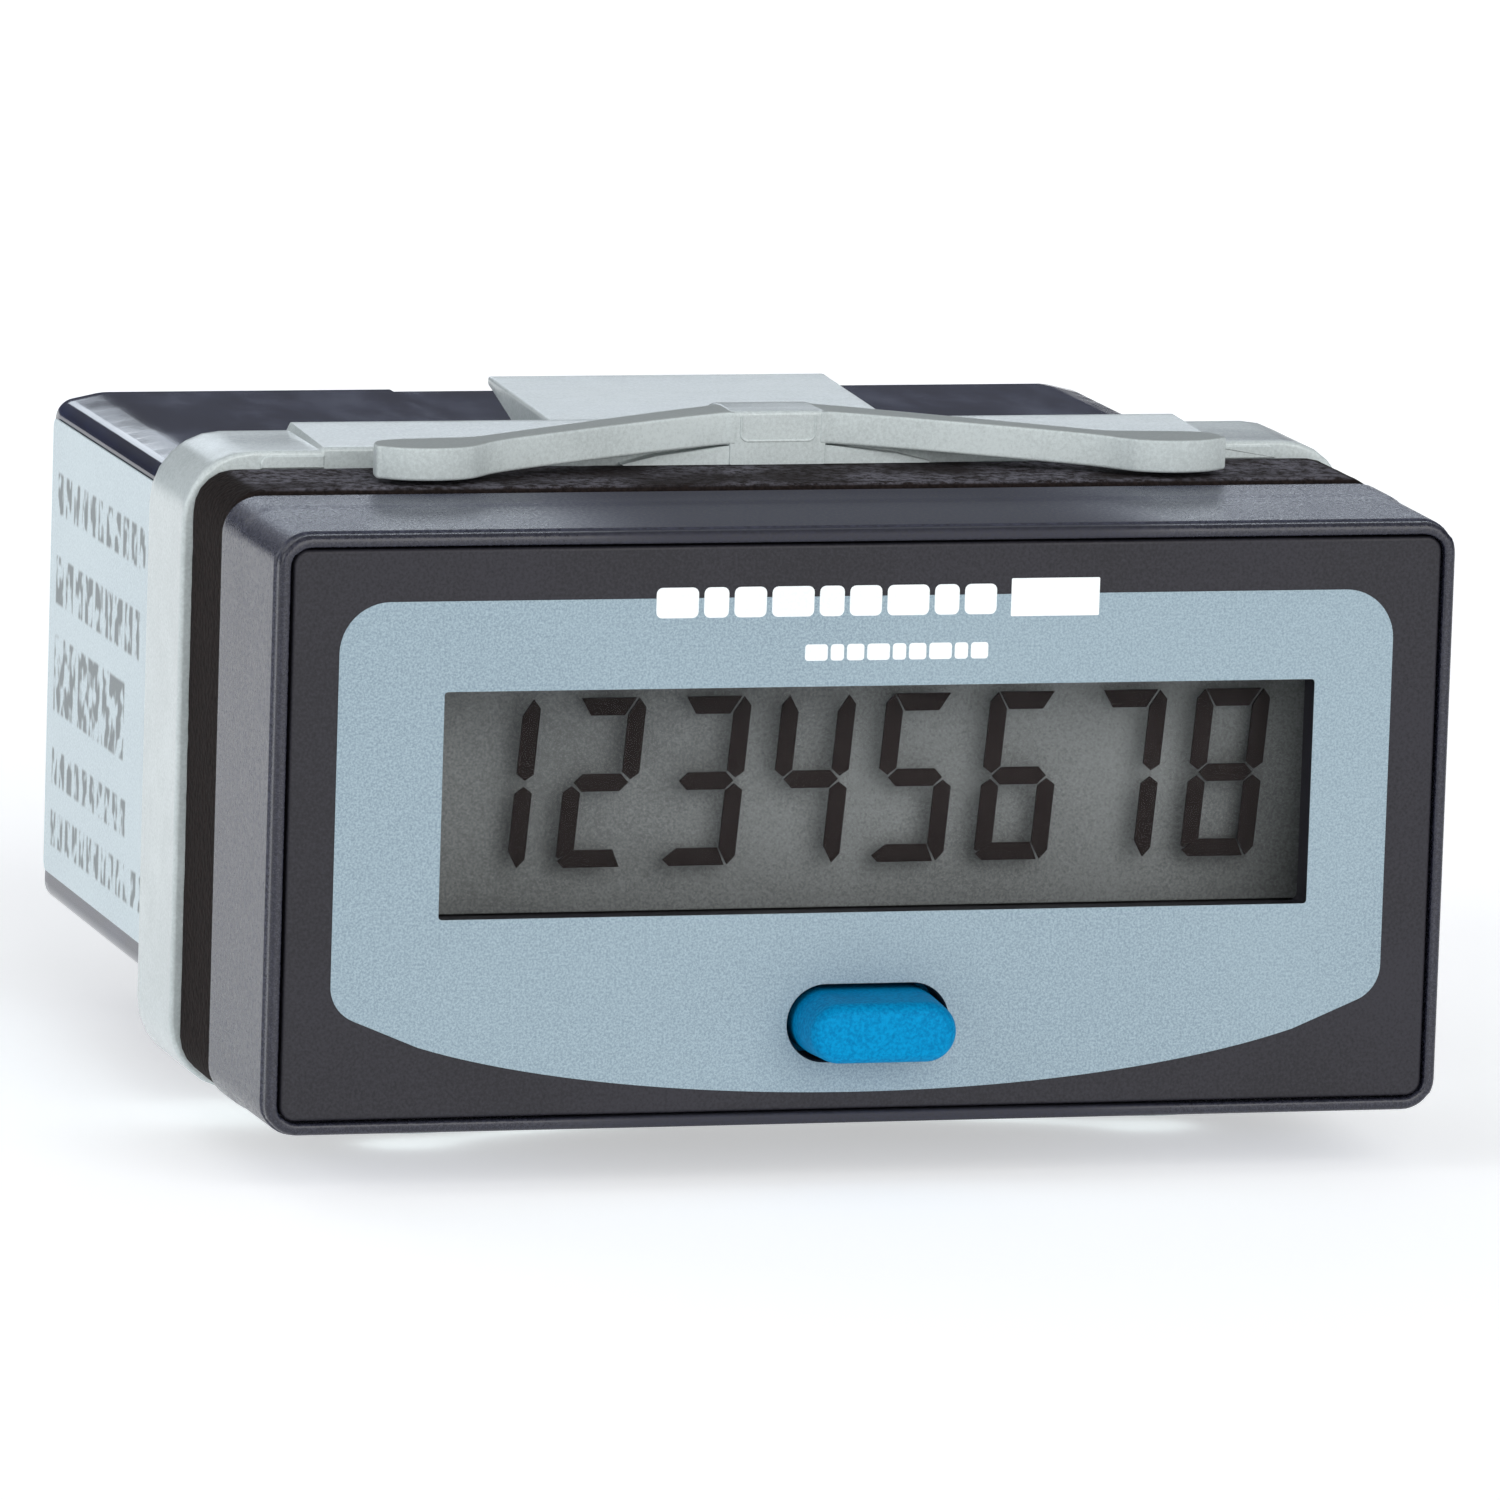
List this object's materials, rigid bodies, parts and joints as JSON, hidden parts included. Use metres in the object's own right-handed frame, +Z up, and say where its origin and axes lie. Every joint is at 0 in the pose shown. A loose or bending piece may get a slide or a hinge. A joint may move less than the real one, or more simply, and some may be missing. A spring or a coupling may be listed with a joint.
{
  "type": "panel counter",
  "caption": "Panel-mounted electronic counter: slim bezel with a segment display and reset key, foam seal, sliding spring clip with latch tongues, and rear screw terminals",
  "frame": {"origin": "middle of the bezel's rear plane, which seats on the panel", "axes": "+X to the right seen from the front, +Y to the rear into the panel, +Z up"},
  "size_m": [0.0482, 0.0556, 0.0286],
  "materials": {
    "bezel": "dark blue-grey moulded plastic with a fine grain",
    "case": "glossy navy-black moulded plastic",
    "panel": "dark grey front plate with a printed grey-blue field",
    "clear": "clear polycarbonate display window",
    "lcd_glass": "thin display glass with its polariser",
    "reflector": "grey reflective film",
    "white_plastic": "off-white moulded plastic",
    "contact_rubber": "layered conductive rubber",
    "board": "green glass-epoxy circuit board",
    "chip": "black moulded epoxy",
    "screw_steel": "zinc-plated steel",
    "plated_tab": "nickel-plated sheet metal",
    "capacitor_sleeve": "dark printed sleeve over an aluminium can",
    "ribbon": "grey flat cable",
    "cell_sleeve": "blue sleeve over a steel lithium cell",
    "seal_foam": "dark foam rubber seal",
    "clip_plastic": "pale grey spring plastic",
    "key_plastic": "blue moulded key cap",
    "label": "pale bluish-white paper label",
    "block_plastic": "black glass-filled plastic"
  },
  "bodies": {
    "housing": {"front_bezel": "bezel", "front_panel": "panel", "display_window": "clear", "lcd_front_glass": "lcd_glass", "lcd_rear_glass": "lcd_glass", "lcd_reflector": "reflector", "lcd_holder": "white_plastic", "zebra_strip_top": "contact_rubber", "zebra_strip_bottom": "contact_rubber", "display_board": "board", "controller_chip": "chip", "crystal": "screw_steel", "capacitor_1": "capacitor_sleeve", "capacitor_2": "capacitor_sleeve", "key_switch_body": "chip", "battery": "cell_sleeve", "battery_contact_left": "plated_tab", "battery_contact_right": "plated_tab", "board_link": "ribbon", "terminal_board": "board", "case": "case", "side_label": "label", "gasket": "seal_foam", "rear_cover": "case", "terminal_block": "block_plastic", "terminal_tab_1": "plated_tab", "terminal_tab_2": "plated_tab", "terminal_tab_3": "plated_tab", "terminal_tab_4": "plated_tab", "terminal_tab_5": "plated_tab", "terminal_tab_6": "plated_tab"},
    "key": {"reset_key": "key_plastic", "switch_plunger": "white_plastic"},
    "clip": {"clip_collar": "clip_plastic"},
    "clip_arm_top_left": {"clip_arm_top_left": "clip_plastic"},
    "clip_arm_top_right": {"clip_arm_top_right": "clip_plastic"},
    "clip_arm_bottom_left": {"clip_arm_bottom_left": "clip_plastic"},
    "clip_arm_bottom_right": {"clip_arm_bottom_right": "clip_plastic"},
    "latch_tongue_top": {"latch_tongue_top": "clip_plastic"},
    "latch_tongue_bottom": {"latch_tongue_bottom": "clip_plastic"},
    "terminal_washer_1": {"terminal_washer_1": "plated_tab"},
    "terminal_screw_1": {"terminal_screw_1": "screw_steel"},
    "terminal_washer_2": {"terminal_washer_2": "plated_tab"},
    "terminal_screw_2": {"terminal_screw_2": "screw_steel"},
    "terminal_washer_3": {"terminal_washer_3": "plated_tab"},
    "terminal_screw_3": {"terminal_screw_3": "screw_steel"},
    "terminal_washer_4": {"terminal_washer_4": "plated_tab"},
    "terminal_screw_4": {"terminal_screw_4": "screw_steel"},
    "terminal_washer_5": {"terminal_washer_5": "plated_tab"},
    "terminal_screw_5": {"terminal_screw_5": "screw_steel"},
    "terminal_washer_6": {"terminal_washer_6": "plated_tab"},
    "terminal_screw_6": {"terminal_screw_6": "screw_steel"}
  },
  "joints": [
    {"name": "reset_key_press", "type": "slide", "parent": "housing", "child": "key", "axis": [0, 1, 0], "range_m": [0, 0.0009], "stiffness_N_per_m": 800, "springref_m": -0.0002},
    {"name": "clip_slide", "type": "slide", "parent": "housing", "child": "clip", "axis": [0, 1, 0], "range_m": [0, 0.0385]},
    {"name": "clip_arm_top_left_flex", "type": "hinge", "parent": "clip", "child": "clip_arm_top_left", "pos_m": [-0.00242, 0.0072, 0.0137], "axis": [0, 0, -1], "range_deg": [0, 7], "stiffness_Nm_per_rad": 0.1},
    {"name": "clip_arm_top_right_flex", "type": "hinge", "parent": "clip", "child": "clip_arm_top_right", "pos_m": [0.00242, 0.0072, 0.0137], "axis": [0, 0, 1], "range_deg": [0, 7], "stiffness_Nm_per_rad": 0.1},
    {"name": "clip_arm_bottom_left_flex", "type": "hinge", "parent": "clip", "child": "clip_arm_bottom_left", "pos_m": [-0.00242, 0.0072, -0.0137], "axis": [0, 0, -1], "range_deg": [0, 7], "stiffness_Nm_per_rad": 0.1},
    {"name": "clip_arm_bottom_right_flex", "type": "hinge", "parent": "clip", "child": "clip_arm_bottom_right", "pos_m": [0.00242, 0.0072, -0.0137], "axis": [0, 0, 1], "range_deg": [0, 7], "stiffness_Nm_per_rad": 0.1},
    {"name": "latch_tongue_top_flex", "type": "hinge", "parent": "clip", "child": "latch_tongue_top", "pos_m": [0, 0.01165, 0.012], "axis": [1, 0, 0], "range_deg": [0, 8], "stiffness_Nm_per_rad": 0.1},
    {"name": "latch_tongue_bottom_flex", "type": "hinge", "parent": "clip", "child": "latch_tongue_bottom", "pos_m": [0, 0.01165, -0.012], "axis": [-1, 0, 0], "range_deg": [0, 8], "stiffness_Nm_per_rad": 0.1},
    {"name": "terminal_washer_1_lift", "type": "slide", "parent": "housing", "child": "terminal_washer_1", "axis": [0, 1, 0], "range_m": [0, 0.0015]},
    {"name": "terminal_screw_1_turn", "type": "hinge", "parent": "terminal_washer_1", "child": "terminal_screw_1", "pos_m": [-0.0155, 0.0388, 0.0006], "axis": [0, 1, 0], "range_deg": [0, 1081]},
    {"name": "terminal_washer_2_lift", "type": "slide", "parent": "housing", "child": "terminal_washer_2", "axis": [0, 1, 0], "range_m": [0, 0.0015]},
    {"name": "terminal_screw_2_turn", "type": "hinge", "parent": "terminal_washer_2", "child": "terminal_screw_2", "pos_m": [-0.0093, 0.0388, 0.0006], "axis": [0, 1, 0], "range_deg": [0, 1081]},
    {"name": "terminal_washer_3_lift", "type": "slide", "parent": "housing", "child": "terminal_washer_3", "axis": [0, 1, 0], "range_m": [0, 0.0015]},
    {"name": "terminal_screw_3_turn", "type": "hinge", "parent": "terminal_washer_3", "child": "terminal_screw_3", "pos_m": [-0.0031, 0.0388, 0.0006], "axis": [0, 1, 0], "range_deg": [0, 1081]},
    {"name": "terminal_washer_4_lift", "type": "slide", "parent": "housing", "child": "terminal_washer_4", "axis": [0, 1, 0], "range_m": [0, 0.0015]},
    {"name": "terminal_screw_4_turn", "type": "hinge", "parent": "terminal_washer_4", "child": "terminal_screw_4", "pos_m": [0.0031, 0.0388, 0.0006], "axis": [0, 1, 0], "range_deg": [0, 1081]},
    {"name": "terminal_washer_5_lift", "type": "slide", "parent": "housing", "child": "terminal_washer_5", "axis": [0, 1, 0], "range_m": [0, 0.0015]},
    {"name": "terminal_screw_5_turn", "type": "hinge", "parent": "terminal_washer_5", "child": "terminal_screw_5", "pos_m": [0.0093, 0.0388, 0.0006], "axis": [0, 1, 0], "range_deg": [0, 1081]},
    {"name": "terminal_washer_6_lift", "type": "slide", "parent": "housing", "child": "terminal_washer_6", "axis": [0, 1, 0], "range_m": [0, 0.0015]},
    {"name": "terminal_screw_6_turn", "type": "hinge", "parent": "terminal_washer_6", "child": "terminal_screw_6", "pos_m": [0.0155, 0.0388, 0.0006], "axis": [0, 1, 0], "range_deg": [0, 1081]}
  ],
  "couplings": [
    {"joint": "terminal_screw_1_turn", "follows": "terminal_washer_1_lift", "rad_per_m": 12566},
    {"joint": "terminal_screw_2_turn", "follows": "terminal_washer_2_lift", "rad_per_m": 12566},
    {"joint": "terminal_screw_3_turn", "follows": "terminal_washer_3_lift", "rad_per_m": 12566},
    {"joint": "terminal_screw_4_turn", "follows": "terminal_washer_4_lift", "rad_per_m": 12566},
    {"joint": "terminal_screw_5_turn", "follows": "terminal_washer_5_lift", "rad_per_m": 12566},
    {"joint": "terminal_screw_6_turn", "follows": "terminal_washer_6_lift", "rad_per_m": 12566}
  ]
}
